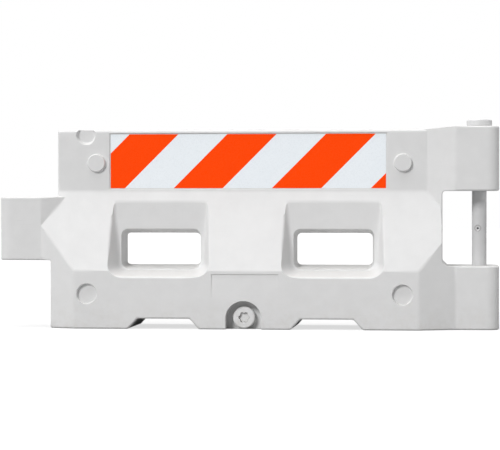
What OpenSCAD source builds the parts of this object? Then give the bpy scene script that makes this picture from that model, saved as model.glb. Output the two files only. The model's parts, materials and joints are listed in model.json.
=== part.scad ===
// Interlocking traffic barricade, one section: a hollow moulded shell that is filled
// with water, linked to its neighbours by a tab, two knuckles and a lift-out pin.
// X runs along the section, -Y is the front, Z is up. The origin is on the ground,
// midway between the two hinge axes. Millimetres.

/* [Shell] */
// Distance between the two hinge axes
hinge_span = 2010; // [1900:10:2200]
// Height of the upper panel above the ground
body_h = 865; // [840:5:900]
// Thickness of the upper panel
panel_d = 150; // [140:5:170]
// Front to back size of the base
base_d = 380; // [340:10:440]
// Height at which the base's upright faces end and the slopes start
slope_bottom_z = 252; // [225:1:256]
// Height at which the slopes meet the upper panel
slope_top_z = 597; // [575:1:600]
// Thickness of the moulded wall
wall = 6; // [4:0.5:7]
// Distance from the left hinge axis to the end of the upper panel
panel_end = 168; // [160:1:180]
// Distance from the left hinge axis to the end wall of the base
base_end = 147; // [145:1:160]
// Radius of the long edges along the top
top_edge_r = 12; // [8:1:16]

/* [Hinge knuckles] */
// Front to back size of the knuckles
knuckle_d = 250; // [230:10:270]
// Distance from a hinge axis to the end of its knuckle
knuckle_end = 85; // [80:1:100]
// Radius of the knuckles' upright corners
knuckle_r = 50; // [40:1:60]
// Height of the lower knuckle
knuckle_h = 275; // [265:1:280]
// Height of the tab
tab_h = 277; // [265:1:285]
// Space between a tab and the neighbour's lower knuckle
tab_gap = 20; // [12:1:30]
// Space between a tab and the neighbour's upper knuckle
arm_gap = 26; // [12:1:30]
// Height of the upper knuckle above the upper panel
knuckle_rise = 12; // [4:1:20]
// Distance from the right hinge axis to the wall of the gap
gap_wall = 160; // [155:1:175]
// Distance from a hinge axis to the foot of the tapers
taper_end = 102; // [95:1:115]
// Length of the taper between the base and a knuckle
base_taper = 155; // [130:1:180]
// Length of the taper between the upper panel and a knuckle
panel_taper = 122; // [100:1:140]
// Chamfer at the floor of the gap
gap_chamfer = 20; // [10:1:30]
// Radius at the ceiling of the gap
gap_r = 13; // [8:1:20]
// Diameter of the bores for the hinge pins
bore_d = 70; // [68:0.5:76]

/* [Windows] */
// Distance between the two windows
window_span = 756; // [720:2:800]
// Width of a window at its waist
window_w = 330; // [280:2:332]
// Height of a window at its waist
window_h = 138; // [110:2:150]
// Height of a window's sill above the ground
window_z = 276; // [270:1:290]
// Radius of a window's corners
window_r = 20; // [12:1:30]
// How much wider than its waist a window is at its mouth, each side
window_flare = 10; // [6:1:16]
// How much higher than its waist a window is at its mouth, above and below
window_rise = 17; // [8:1:20]
// Thickness of the web between the two pockets
web_d = 180; // [160:5:200]
// Width of a pocket at its floor
pocket_w = 364; // [362:1:380]
// Angle that a pocket's sides open outwards
pocket_flare = 21; // [15:1:30]
// Radius between a pocket's sides and the web
pocket_fillet = 20; // [10:1:30]
// Angle that a pocket's sides lean apart towards the top
pocket_lean = 5; // [3:0.5:8]
// Distance from a window's mouth down to the pocket's floor
pocket_step = 6; // [2:1:10]
// Angle that a pocket's floor falls outwards
pocket_fall = 15; // [10:1:22]
// Radius of a pocket's lower corners at the web
pocket_r = 40; // [26:1:50]
// Radius of a pocket's lower corners at the base's face
pocket_face_r = 60; // [40:1:70]

/* [Fork slots] */
// Distance between the two fork slots
fork_span = 708; // [680:2:720]
// Width of a fork slot at its ceiling
fork_w = 228; // [200:2:240]
// Width that each side of a fork slot gains towards the ground
fork_spread = 41; // [20:1:50]
// Height of a fork slot
fork_h = 45; // [35:1:55]

/* [Moulded details] */
// Distance between the two raised bosses on a face
boss_span = 1342; // [1320:2:1370]
// Distance by which a face's bosses sit right of its middle
boss_shift = 6; // [0:1:10]
// Distance from the top edge down to the bosses' middles
boss_drop = 145; // [105:1:185]
// Diameter of a boss at the panel
boss_d = 80; // [60:1:90]
// Height of a boss above the panel's face
boss_h = 14; // [8:1:18]
// Distance between the two round sockets on a face
socket_span = 1368; // [1320:2:1376]
// Distance by which a face's sockets sit left of its middle
socket_shift = 6; // [0:1:10]
// Height of the sockets above the ground
socket_z = 152; // [120:1:156]
// Diameter of a socket
socket_d = 90; // [82:1:96]
// Depth of a socket
socket_depth = 15; // [10:1:20]
// Angle at which the bosses and sockets narrow
draft = 14; // [5:1:20]
// Width of the bare panel on the middle of the base
plate_w = 290; // [240:5:310]
// Height of that panel's upper edge above the ground
plate_z = 238; // [200:1:245]
// Depth of that panel at its upper edge
plate_depth = 4; // [2:0.5:6]
// Height over which that panel runs out
plate_run = 115; // [60:5:115]

/* [Reflective sheets] */
// Width of a sheet
sheet_w = 1206; // [1100:2:1230]
// Height of a sheet
sheet_h = 236; // [220:1:240]
// Distance from the top edge down to a sheet's middle
sheet_drop = 137; // [133:1:141]
// Thickness of the white sheet
sheet_t = 1; // [0.5:0.1:2]
// Thickness of the orange film on it
film_t = 0.4; // [0.2:0.1:0.8]
// Width of a stripe, square across it
stripe_w = 152.4; // [100:0.1:160]
// Width of the last stripe's foot at a sheet's right end
stripe_end = 65; // [40:1:150]
// Depth of the shell's recess for a sheet
recess_depth = 5; // [3:0.5:8]
// Border between a sheet and the edge of its recess
recess_border = 4; // [2:0.5:8]

/* [Fill port] */
// Distance from the left hinge axis to the fill port
fill_offset = 293; // [290:1:310]
// Diameter of the well round the fill cap
well_d = 100; // [98:1:104]
// Depth of the well
well_depth = 22; // [20:1:30]
// Diameter of the fill cap's head
fill_head_d = 88; // [80:1:90]
// Height of the fill cap's head
fill_head_h = 12; // [10:1:16]
// Diameter of the fill cap's shank
fill_shank_d = 53; // [45:1:56]
// Length of the fill cap's shank below the gasket
fill_shank_h = 35; // [25:1:45]
// Number of grip notches round the fill cap
grip_count = 16; // [8:1:24]
// Radius of a grip notch
grip_r = 4; // [2:0.5:5]
// Diameter of the finger scoops in the panel's faces
scoop_d = 86; // [60:1:90]
// Depth of a finger scoop
scoop_depth = 16; // [8:1:17]
// Angle at which a finger scoop narrows
scoop_draft = 27; // [10:1:35]

/* [Drain port] */
// Distance by which the drain sits left of the middle
drain_shift = 6; // [0:1:10]
// Height of the drain's axis above the ground
drain_z = 51; // [50:1:60]
// Radius of the arched recess round the drain
arch_r = 77; // [64:1:80]
// Height of the arch's centre above the ground
arch_z = 46; // [40:1:60]
// Depth of the arched recess
arch_depth = 60; // [50:1:70]
// Diameter of the drain plug's head
drain_head_d = 96; // [86:1:98]
// Height of the drain plug's head
drain_head_h = 22; // [18:1:26]
// Chamfer round the drain plug's head
drain_edge = 4.5; // [2:0.5:8]
// Diameter of the drain plug's shank
drain_shank_d = 59; // [50:1:62]
// Length of the drain plug's shank behind the gasket
drain_shank_h = 34; // [25:1:45]
// Diameter across the lobes of the drain plug's socket
key_d = 48; // [36:1:52]
// Diameter of one lobe
lobe_d = 14; // [10:0.5:16]
// Diameter of the socket between its lobes
key_core_d = 38; // [30:1:42]
// Depth of the drain plug's socket
key_depth = 11; // [8:1:14]

/* [Ports] */
// Wall of the threaded necks
neck_wall = 5; // [4:0.5:8]
// Thickness of the necks' flanges
flange_t = 4; // [3:0.5:6]
// Thickness of the gaskets
gasket_t = 3; // [2:0.5:4]
// Clearance between a shank and its neck, all round
thread_gap = 0.5; // [0.3:0.1:1]
// Clearance between a neck and the shell's wall, all round
seat_gap = 0.3; // [0.1:0.1:0.5]
// Wall of the hollow caps and plugs
cap_wall = 5; // [4:0.5:6]

/* [Hinge pin] */
// Diameter of the hinge pin
pin_d = 63.5; // [60:0.5:66]
// Wall of the pin's tube
pin_wall = 4; // [3:0.5:6]
// Height of the pin's tip above the ground
pin_tip_z = 8; // [4:1:20]
// Length of the pin's tapered nose
nose_h = 27; // [15:1:40]
// Diameter of the nose at its tip
nose_d = 36; // [20:1:50]
// Diameter of the pin's head
head_d = 110; // [100:1:120]
// Height of the pin's head
head_h = 30; // [24:1:40]
// Chamfer round both ends of the head
head_edge = 5; // [2:0.5:8]
// Clearance under the pin's head
head_gap = 0.3; // [0.2:0.1:1]
// Length of the spigots that hold the head and the nose in the tube
spigot_h = 25; // [15:1:40]
// Diameter of the dish in the side of the pin
dish_d = 28; // [20:1:32]
// Depth of the dish
dish_depth = 2.5; // [1.5:0.5:3]
// Diameter of the vent hole in the dish
vent_d = 8; // [4:1:10]
// Direction of the vent hole, turned from straight ahead
vent_turn = 12; // [0:1:30]

/* [Hidden] */
$fn = 96;

arc_steps = 8;
fillet_steps = 4;
stripe_count = 4;
// How far a cut runs past a face, and how far two joined solids reach into each other
cut = 10;
bite = 1;

axis_x = hinge_span / 2;
end_x = axis_x + knuckle_end;
taper_x = axis_x - taper_end;
base_x = taper_x - base_taper;
gap_x = axis_x - gap_wall;
panel_x = axis_x - panel_end;
base_end_x = axis_x - base_end;
root_x = taper_x - 2 * panel_taper;

panel_y = panel_d / 2;
base_y = base_d / 2;
knuckle_y = knuckle_d / 2;
root_y = knuckle_y - 2 * (knuckle_y - panel_y);

gap_bottom_z = knuckle_h;
tab_bottom_z = knuckle_h + tab_gap;
tab_top_z = tab_bottom_z + tab_h;
gap_top_z = tab_top_z + arm_gap;
top_z = body_h + knuckle_rise;

web_y = web_d / 2;
fillet_depth = pocket_fillet * (1 - sin(pocket_flare));
pocket_top_z = slope_top_z + cut;
boss_z = body_h - boss_drop;
sheet_y = panel_y - recess_depth;
sheet_z = body_h - sheet_drop;

fill_x = -axis_x + fill_offset;
well_z = body_h - well_depth;
arch_y = base_y - arch_depth;
fill_bore_d = fill_shank_d + 2 * thread_gap;
drain_bore_d = drain_shank_d + 2 * thread_gap;
stripe_run = stripe_w * sqrt(2);

tube_bottom_z = pin_tip_z + nose_h;
tube_top_z = top_z + head_gap + head_h / 2;
vent_z = (gap_bottom_z + gap_top_z) / 2;
tube_bore_r = pin_d / 2 - pin_wall;

plastic = [0.86, 0.87, 0.87];
orange = [1, 0.29, 0.06];
white = [0.93, 0.95, 0.97];
black = [0.15, 0.15, 0.16];

// A corner is [x, y, radius]. Outlines run anticlockwise.
function unit(v) = v / norm(v);
function place(c) = [c[0], c[1]];
function before(c, i) = place(c[(i + len(c) - 1) % len(c)]);
function after(c, i) = place(c[(i + 1) % len(c)]);
function left_of(d) = [-d[1], d[0]];

// The outline moved inwards by t, or outwards where t is negative
function inset(c, t) = [
    for (i = [0 : len(c) - 1])
    let (
        d = unit(place(c[i]) - before(c, i)),
        e = unit(after(c, i) - place(c[i])),
        shift = (left_of(d) + left_of(e)) * t / (1 + d * e),
        bend = d[0] * e[1] - d[1] * e[0] > 0 ? 1 : -1,
        p = place(c[i]) + shift
    )
    [p[0], p[1], c[i][2] == 0 ? 0 : max(c[i][2] - bend * t, 0)]
];

// The outline's points, each corner with a radius drawn as an arc
function rounded(c) = [
    for (i = [0 : len(c) - 1])
    let (
        p = place(c[i]),
        u = unit(before(c, i) - p),
        v = unit(after(c, i) - p),
        half = acos(u * v) / 2,
        r = c[i][2],
        middle = p + unit(u + v) * r / sin(half),
        from = p + u * r / tan(half) - middle,
        to = p + v * r / tan(half) - middle,
        start = atan2(from[1], from[0]),
        turn = atan2(from[0] * to[1] - from[1] * to[0], from * to)
    )
    each r == 0 ? [p] : [
        for (k = [0 : arc_steps])
        let (a = start + turn * k / arc_steps)
        middle + r * [cos(a), sin(a)]
    ]
];

function mirror_x(c) = [for (i = [len(c) - 1 : -1 : 0]) [-c[i][0], c[i][1], c[i][2]]];

// Outlines of the shell, seen from the end, from above and from the front
function end_view() = [
    [-base_y, 0, 0], [base_y, 0, 0],
    [base_y, slope_bottom_z, 0], [panel_y, slope_top_z, 0],
    [panel_y, body_h, top_edge_r], [-panel_y, body_h, top_edge_r],
    [-panel_y, slope_top_z, 0], [-base_y, slope_bottom_z, 0]
];

function base_plan() = [
    [-taper_x, -knuckle_y, 0], [-base_x, -base_y, 0],
    [base_x, -base_y, 0], [taper_x, -knuckle_y, 0],
    [end_x, -knuckle_y, knuckle_r], [end_x, knuckle_y, knuckle_r],
    [taper_x, knuckle_y, 0], [base_x, base_y, 0],
    [-base_x, base_y, 0], [-taper_x, knuckle_y, 0]
];

function knuckle_plan() = [
    [root_x, -root_y, 0], [taper_x, -knuckle_y, 0],
    [end_x, -knuckle_y, knuckle_r], [end_x, knuckle_y, knuckle_r],
    [taper_x, knuckle_y, 0], [root_x, root_y, 0]
];

function main_front() = [
    [-base_end_x, 0, 0], [end_x, 0, 0], [end_x, gap_bottom_z, 0],
    [gap_x + gap_chamfer, gap_bottom_z, 0], [gap_x, gap_bottom_z + gap_chamfer, 0],
    [gap_x, body_h, 0], [-panel_x, body_h, 0], [-panel_x, tab_top_z, 0],
    [-taper_x, tab_top_z, 0], [-taper_x, tab_bottom_z, 0], [-base_end_x, tab_bottom_z, 0]
];

function arm_front() = [
    [root_x, gap_bottom_z + gap_chamfer, 0], [gap_x, gap_bottom_z + gap_chamfer, 0],
    [gap_x, gap_top_z, gap_r], [end_x, gap_top_z, 0], [end_x, top_z, 0],
    [taper_x, top_z, 0], [taper_x - panel_taper, body_h, 0], [root_x, body_h, 0]
];

function tab_front() = [
    [-end_x, tab_bottom_z, 0], [-root_x, tab_bottom_z, 0],
    [-root_x, tab_top_z, 0], [-end_x, tab_top_z, 0]
];

module along_x(c, half_length) {
    rotate([90, 0, 90])
        translate([0, 0, -half_length])
            linear_extrude(2 * half_length)
                polygon(rounded(c));
}

module along_y(c, y0, y1) {
    translate([0, y1, 0])
        rotate([90, 0, 0])
            linear_extrude(y1 - y0)
                polygon(rounded(c));
}

module along_z(c, z0, z1) {
    translate([0, 0, z0])
        linear_extrude(z1 - z0)
            polygon(rounded(c));
}

// Solid between two outlines of equally many points, at y0 and y1
module loft(a, b, y0, y1) {
    n = len(a);
    points = concat([for (p = a) [p[0], y0, p[1]]], [for (p = b) [p[0], y1, p[1]]]);
    sides = [for (i = [0 : n - 1]) [i, (i + 1) % n, n + (i + 1) % n, n + i]];
    front = [[for (i = [n - 1 : -1 : 0]) i]];
    back = [[for (i = [n : 2 * n - 1]) i]];
    polyhedron(points, concat(sides, front, back));
}

// The shell without its openings, drawn in by t on every side
module mass(t) {
    reach = end_x + cut;
    intersection() {
        along_x(inset(end_view(), t), reach);
        along_z(inset(base_plan(), t), -cut, top_z + cut);
        along_y(inset(main_front(), t), -base_y - cut, base_y + cut);
    }
    intersection() {
        along_z(inset(knuckle_plan(), t), 0, top_z + cut);
        along_y(inset(arm_front(), t), -base_y, base_y);
    }
    intersection() {
        along_z(inset(mirror_x(knuckle_plan()), t), 0, top_z);
        along_y(inset(tab_front(), t), -base_y, base_y);
    }
}

// Half the width of a pocket's floor at a distance y from the middle plane. Near the web
// it follows the fillet, which starts on the web and runs into the side.
function pocket_half(y) =
    let (
        depth = y - web_y,
        straight = pocket_w / 2 + depth * tan(pocket_flare),
        middle = pocket_w / 2 + pocket_fillet * (tan(pocket_flare) - 1 / cos(pocket_flare)),
        off = min(pocket_fillet, abs(depth - pocket_fillet))
    )
    depth < fillet_depth ? middle + sqrt(pocket_fillet * pocket_fillet - off * off) : straight;

// A pocket's outline at a distance y from the middle plane, grown by g
function pocket_outline(y, g) =
    let (
        floor_z = window_z - window_rise - pocket_step - (y - web_y) * tan(pocket_fall),
        half = pocket_half(y),
        rise = pocket_top_z - floor_z,
        top_half = half + rise * tan(pocket_lean),
        r = pocket_r + (pocket_face_r - pocket_r) * (y - web_y) / (base_y - web_y)
    )
    inset([
        [-half, floor_z, r], [half, floor_z, r],
        [top_half, pocket_top_z, 0], [-top_half, pocket_top_z, 0]
    ], -g);

// A window's outline at a share of the way from its waist to its mouth, grown by g
function window_outline(share, g) =
    let (
        half = window_w / 2 + share * window_flare,
        low = window_z - share * window_rise,
        high = window_z + window_h + share * window_rise,
        r = window_r + share * window_flare
    )
    inset([[-half, low, r], [half, low, r], [half, high, r], [-half, high, r]], -g);

// One window with the pocket in front of it and the one behind, grown by g
module window(g) {
    mouth_y = web_y + cut - g;
    far_y = base_y + cut;
    levels = [for (k = [0 : fillet_steps]) web_y + fillet_depth * pow(k / fillet_steps, 2)];
    for (side = [0, 1])
        mirror([0, side, 0]) {
            for (k = [1 : fillet_steps])
                loft(rounded(pocket_outline(levels[k], g)), rounded(pocket_outline(levels[k - 1], g)),
                    -levels[k] + g, -levels[k - 1] + g);
            loft(rounded(pocket_outline(far_y, g)), rounded(pocket_outline(web_y + fillet_depth, g)),
                -far_y, -web_y - fillet_depth + g);
            loft(rounded(window_outline(mouth_y / web_y, g)), rounded(window_outline(0, g)),
                -mouth_y, 0);
        }
}

module fork_slot(g) {
    foot = fork_w / 2 + fork_spread * (fork_h + cut) / fork_h;
    c = [
        [-foot, -cut, 0], [foot, -cut, 0],
        [fork_w / 2, fork_h, 0], [-fork_w / 2, fork_h, 0]
    ];
    along_y(inset(c, -g), -base_y - cut, base_y + cut);
}

module sheet_recess(g) {
    w = sheet_w + 2 * (recess_border + g);
    h = sheet_h + 2 * (recess_border + g);
    d = recess_depth + g;
    translate([-w / 2, -panel_y - cut, sheet_z - h / 2])
        cube([w, d + cut, h]);
}

module plate_recess(g) {
    d = plate_depth + g;
    c = [
        [-base_y - cut, plate_z + g, 0], [-base_y - cut, plate_z - plate_run, 0],
        [-base_y, plate_z - plate_run, 0], [-base_y + d, plate_z + g, 0]
    ];
    along_x(c, plate_w / 2 + g);
}

// A round dish in a face that looks along -Y, narrowing by an angle as it goes in
module round_dish(d, depth, angle, g) {
    rotate([90, 0, 0])
        cylinder(h = cut, d = d + 2 * g);
    translate([0, depth + g, 0])
        rotate([90, 0, 0])
            cylinder(h = depth + g, d1 = d - 2 * depth * tan(angle) + 2 * g, d2 = d + 2 * g);
}

module drain_arch(g) {
    translate([-drain_shift, -arch_y + g, arch_z])
        rotate([90, 0, 0])
            cylinder(h = arch_depth + g + cut, r = arch_r + g);
    translate([-drain_shift - arch_r - g, -base_y - cut, -cut])
        cube([2 * (arch_r + g), arch_depth + g + cut, arch_z + cut]);
}

module hinge_bores(d) {
    for (side = [-1, 1])
        translate([side * axis_x, 0, -cut])
            cylinder(h = top_z + 2 * cut, d = d);
}

// Everything moulded into the shell from outside, grown by g
module openings(g) {
    for (side = [-1, 1]) {
        translate([side * window_span / 2, 0, 0])
            window(g);
        translate([side * fork_span / 2, 0, 0])
            fork_slot(g);
    }
    for (turn = [0, 180])
        rotate([0, 0, turn]) {
            sheet_recess(g);
            plate_recess(g);
            for (side = [-1, 1])
                translate([side * socket_span / 2 - socket_shift, -base_y, socket_z])
                    round_dish(socket_d, socket_depth, draft, g);
        }
    for (side = [0, 1])
        mirror([0, side, 0])
            translate([fill_x, -panel_y, well_z])
                round_dish(scoop_d, scoop_depth, scoop_draft, g);
    translate([fill_x, 0, well_z - g])
        cylinder(h = well_depth + g + cut, d = well_d + 2 * g);
    drain_arch(g);
    hinge_bores(bore_d + 2 * g);
}

module bosses(t) {
    h = wall + boss_h;
    foot_d = boss_d + 2 * wall * tan(draft);
    for (turn = [0, 180], side = [-1, 1])
        rotate([0, 0, turn])
            translate([side * boss_span / 2 + boss_shift, -panel_y + wall + t, boss_z])
                rotate([90, 0, 0])
                    cylinder(h = h, d1 = foot_d - 2 * t, d2 = foot_d - 2 * h * tan(draft) - 2 * t);
}

module body_shell() {
    color(plastic)
        difference() {
            union() {
                mass(0);
                bosses(0);
            }
            openings(0);
            difference() {
                union() {
                    mass(wall);
                    bosses(wall);
                }
                openings(wall);
            }
            translate([fill_x, 0, well_z - wall - cut])
                cylinder(h = wall + 2 * cut, d = fill_bore_d + 2 * (neck_wall + seat_gap));
            translate([-drain_shift, -arch_y + wall + cut, drain_z])
                rotate([90, 0, 0])
                    cylinder(h = wall + 2 * cut, d = drain_bore_d + 2 * (neck_wall + seat_gap));
        }
}

module sheet_outline() {
    square([sheet_w, sheet_h], center = true);
}

module sheet() {
    translate([0, -sheet_y, sheet_z])
        rotate([90, 0, 0])
            linear_extrude(sheet_t)
                sheet_outline();
}

// Band n of orange film, counted from a sheet's left end. The bands lean at 45 degrees,
// and the white between two of them is as wide as they are.
module stripe(n) {
    foot_x = sheet_w / 2 - stripe_end - 2 * (stripe_count - n) * stripe_run;
    translate([0, -sheet_y - sheet_t, sheet_z])
        rotate([90, 0, 0])
            linear_extrude(film_t)
                intersection() {
                    sheet_outline();
                    translate([foot_x, -sheet_h / 2])
                        polygon([
                            [0, 0], [stripe_run, 0],
                            [stripe_run + sheet_h, sheet_h], [sheet_h, sheet_h]
                        ]);
                }
}

module at_rear() {
    rotate([0, 0, 180])
        children();
}

module front_sheet() {
    color(white) sheet();
}

module front_stripe_1() {
    color(orange) stripe(1);
}

module front_stripe_2() {
    color(orange) stripe(2);
}

module front_stripe_3() {
    color(orange) stripe(3);
}

module front_stripe_4() {
    color(orange) stripe(4);
}

module rear_sheet() {
    color(white) at_rear() sheet();
}

module rear_stripe_1() {
    color(orange) at_rear() stripe(1);
}

module rear_stripe_2() {
    color(orange) at_rear() stripe(2);
}

module rear_stripe_3() {
    color(orange) at_rear() stripe(3);
}

module rear_stripe_4() {
    color(orange) at_rear() stripe(4);
}

// A threaded neck: a tube under a flange whose seat is at z = 0
module neck(bore, length, flange_d) {
    tube_d = bore + 2 * neck_wall;
    difference() {
        union() {
            cylinder(h = flange_t, d = flange_d);
            translate([0, 0, -length])
                cylinder(h = length + flange_t / 2, d = tube_d);
        }
        translate([0, 0, -length - cut])
            cylinder(h = length + flange_t + 2 * cut, d = bore);
    }
}

module gasket(bore, outer) {
    translate([0, 0, flange_t])
        difference() {
            cylinder(h = gasket_t, d = outer);
            translate([0, 0, -cut])
                cylinder(h = gasket_t + 2 * cut, d = bore + 2 * thread_gap);
        }
}

// Moves a port piece from z = 0 on its seat to its place in the shell
module at_fill() {
    translate([fill_x, 0, well_z])
        children();
}

module at_drain() {
    translate([-drain_shift, -arch_y, drain_z])
        rotate([90, 0, 0])
            children();
}

module fill_neck() {
    color(black)
        at_fill() neck(fill_bore_d, fill_shank_h + flange_t, fill_head_d);
}

module fill_gasket() {
    color(black)
        at_fill() gasket(fill_bore_d, fill_head_d - cap_wall);
}

module drain_neck() {
    color(black)
        at_drain() neck(drain_bore_d, drain_shank_h + flange_t, drain_head_d);
}

module drain_gasket() {
    color(black)
        at_drain() gasket(drain_bore_d, drain_head_d - cap_wall);
}

// Grip notches round the rim of the fill cap's head
module grips() {
    for (i = [0 : grip_count - 1])
        rotate([0, 0, i * 360 / grip_count])
            translate([fill_head_d / 2 + grip_r / 2, 0, -cut])
                cylinder(h = fill_head_h + 2 * cut, r = grip_r, $fn = 24);
}

// Two hollows in the fill cap's top that leave a bar across it to turn it by
module finger_hollows() {
    for (side = [0, 1])
        mirror([0, side, 0])
            intersection() {
                translate([0, 0, fill_head_h - cap_wall])
                    cylinder(h = cap_wall + cut, d = fill_head_d - 4 * cap_wall);
                translate([-fill_head_d, cap_wall, 0])
                    cube([2 * fill_head_d, fill_head_d, fill_head_h + cut]);
            }
}

// The hollow shank of a cap or plug, hanging below its head at z = 0
module shank(length, d) {
    translate([0, 0, -length])
        difference() {
            cylinder(h = length + bite, d = d);
            translate([0, 0, -cut])
                cylinder(h = length + cut, d = d - 2 * cap_wall);
        }
}

module fill_cap() {
    color(plastic)
        at_fill()
            translate([0, 0, flange_t + gasket_t]) {
                difference() {
                    cylinder(h = fill_head_h, d = fill_head_d);
                    grips();
                    finger_hollows();
                }
                shank(gasket_t + fill_shank_h, fill_shank_d);
            }
}

// The six-lobed socket for the drain key
module key_socket() {
    for (i = [0 : 5])
        rotate([0, 0, i * 60])
            translate([(key_d - lobe_d) / 2, 0, 0])
                cylinder(h = key_depth + cut, d = lobe_d, $fn = 32);
    cylinder(h = key_depth + cut, d = key_core_d);
}

module drain_plug() {
    straight_h = drain_head_h - drain_edge;
    color(white)
        at_drain()
            translate([0, 0, flange_t + gasket_t]) {
                difference() {
                    union() {
                        cylinder(h = straight_h, d = drain_head_d);
                        translate([0, 0, straight_h])
                            cylinder(h = drain_edge, d1 = drain_head_d, d2 = drain_head_d - 2 * drain_edge);
                    }
                    translate([0, 0, drain_head_h - key_depth])
                        key_socket();
                }
                shank(gasket_t + drain_shank_h, drain_shank_d);
            }
}

module at_pin() {
    translate([axis_x, 0, 0])
        children();
}

module pin_tube() {
    dish_r = (dish_d * dish_d / 4 + dish_depth * dish_depth) / (2 * dish_depth);
    color(plastic)
        at_pin()
            difference() {
                translate([0, 0, tube_bottom_z])
                    cylinder(h = tube_top_z - tube_bottom_z, d = pin_d);
                translate([0, 0, tube_bottom_z - cut])
                    cylinder(h = tube_top_z - tube_bottom_z + 2 * cut, r = tube_bore_r);
                rotate([0, 0, -vent_turn])
                    translate([0, 0, vent_z])
                        rotate([90, 0, 0]) {
                            cylinder(h = pin_d, d = vent_d);
                            translate([0, 0, pin_d / 2 - dish_depth + dish_r])
                                sphere(r = dish_r);
                        }
            }
}

// The head is a cap over the tube's top end with a spigot inside it
module pin_head() {
    head_z = top_z + head_gap;
    seat_h = tube_top_z - head_z;
    profile = [
        [0, 0], [head_d / 2 - head_edge, 0], [head_d / 2, head_edge],
        [head_d / 2, head_h - head_edge], [head_d / 2 - head_edge, head_h], [0, head_h]
    ];
    color(plastic)
        at_pin()
            translate([0, 0, head_z]) {
                difference() {
                    rotate_extrude()
                        polygon(profile);
                    translate([0, 0, -cut])
                        cylinder(h = seat_h + cut, d = pin_d + 2 * seat_gap);
                }
                translate([0, 0, -spigot_h])
                    cylinder(h = spigot_h + seat_h + bite, r = tube_bore_r - seat_gap);
            }
}

module pin_nose_plug() {
    color(plastic)
        at_pin() {
            translate([0, 0, pin_tip_z])
                cylinder(h = nose_h, d1 = nose_d, d2 = pin_d);
            translate([0, 0, tube_bottom_z - bite])
                cylinder(h = spigot_h + bite, r = tube_bore_r - seat_gap);
        }
}

body_shell();
front_sheet();
front_stripe_1();
front_stripe_2();
front_stripe_3();
front_stripe_4();
rear_sheet();
rear_stripe_1();
rear_stripe_2();
rear_stripe_3();
rear_stripe_4();
fill_neck();
fill_gasket();
fill_cap();
drain_neck();
drain_gasket();
drain_plug();
pin_tube();
pin_head();
pin_nose_plug();
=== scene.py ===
# %% [markdown]
# # A water-filled traffic barricade
#
# The real object is one hollow plastic shell, moulded in a turning oven, with a striped
# reflective sheet on each face, two screw ports and a hinge pin. The CAD part holds its true
# sizes. This script dresses it: it softens the shell's edges as the mould does, gives the
# small pieces rounded rims, gives the ports their thread ridges, and gives every piece a
# finish.
#
# All lengths are metres. X runs along the barricade, -Y is its front and Z is up.

import json
import math

import bmesh
import bpy
from mathutils import Matrix, Vector
from mathutils.kdtree import KDTree

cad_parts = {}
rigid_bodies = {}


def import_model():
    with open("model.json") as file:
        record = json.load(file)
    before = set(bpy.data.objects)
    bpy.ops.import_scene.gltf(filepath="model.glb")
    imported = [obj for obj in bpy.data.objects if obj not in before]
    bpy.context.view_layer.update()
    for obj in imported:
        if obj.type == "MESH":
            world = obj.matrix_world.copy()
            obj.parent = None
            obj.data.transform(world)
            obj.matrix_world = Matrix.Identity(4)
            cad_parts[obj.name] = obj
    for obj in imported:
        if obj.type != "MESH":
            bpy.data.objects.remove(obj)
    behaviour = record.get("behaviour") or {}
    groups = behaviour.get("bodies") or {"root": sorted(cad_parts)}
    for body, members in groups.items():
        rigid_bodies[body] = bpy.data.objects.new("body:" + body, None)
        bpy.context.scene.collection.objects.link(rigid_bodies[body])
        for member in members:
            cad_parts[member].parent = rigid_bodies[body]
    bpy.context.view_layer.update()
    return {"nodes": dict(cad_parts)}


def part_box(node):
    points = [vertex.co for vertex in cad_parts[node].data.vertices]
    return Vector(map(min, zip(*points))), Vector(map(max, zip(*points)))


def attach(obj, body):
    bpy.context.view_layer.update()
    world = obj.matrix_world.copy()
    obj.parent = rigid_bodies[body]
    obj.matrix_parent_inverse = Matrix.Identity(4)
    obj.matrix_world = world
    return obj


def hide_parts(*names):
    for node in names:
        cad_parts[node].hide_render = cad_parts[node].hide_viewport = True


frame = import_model()
bpy.context.scene.view_settings.view_transform = "Standard"
MM = 0.001

# %% [markdown]
# ## The camera
#
# The photograph was taken from far away with a long lens, almost level and turned only about
# six degrees towards the hinge pin. A short lens would make the near end look too large, so
# the distance is set first and the lens then frames the barricade.

# %% Camera
VIEW_AIM = Vector((0.004, 0.0, 0.4485))
VIEW_DISTANCE = 9.371
VIEW_TURN = math.radians(5.79)
VIEW_RISE = math.radians(0.70)
VIEW_LENS = 153.6
FAR_CLIP = 200.0

camera_data = bpy.data.cameras.new("camera")
camera_data.sensor_width = 36.0
camera_data.lens = VIEW_LENS
camera_data.clip_end = FAR_CLIP
camera = bpy.data.objects.new("camera", camera_data)
bpy.context.scene.collection.objects.link(camera)
back = Vector((
    math.sin(VIEW_TURN) * math.cos(VIEW_RISE),
    -math.cos(VIEW_TURN) * math.cos(VIEW_RISE),
    math.sin(VIEW_RISE),
))
camera.location = VIEW_AIM + back * VIEW_DISTANCE
camera.rotation_euler = back.to_track_quat("Z", "Y").to_euler()
bpy.context.scene.camera = camera
print("camera at", tuple(round(v, 3) for v in camera.location))

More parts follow.
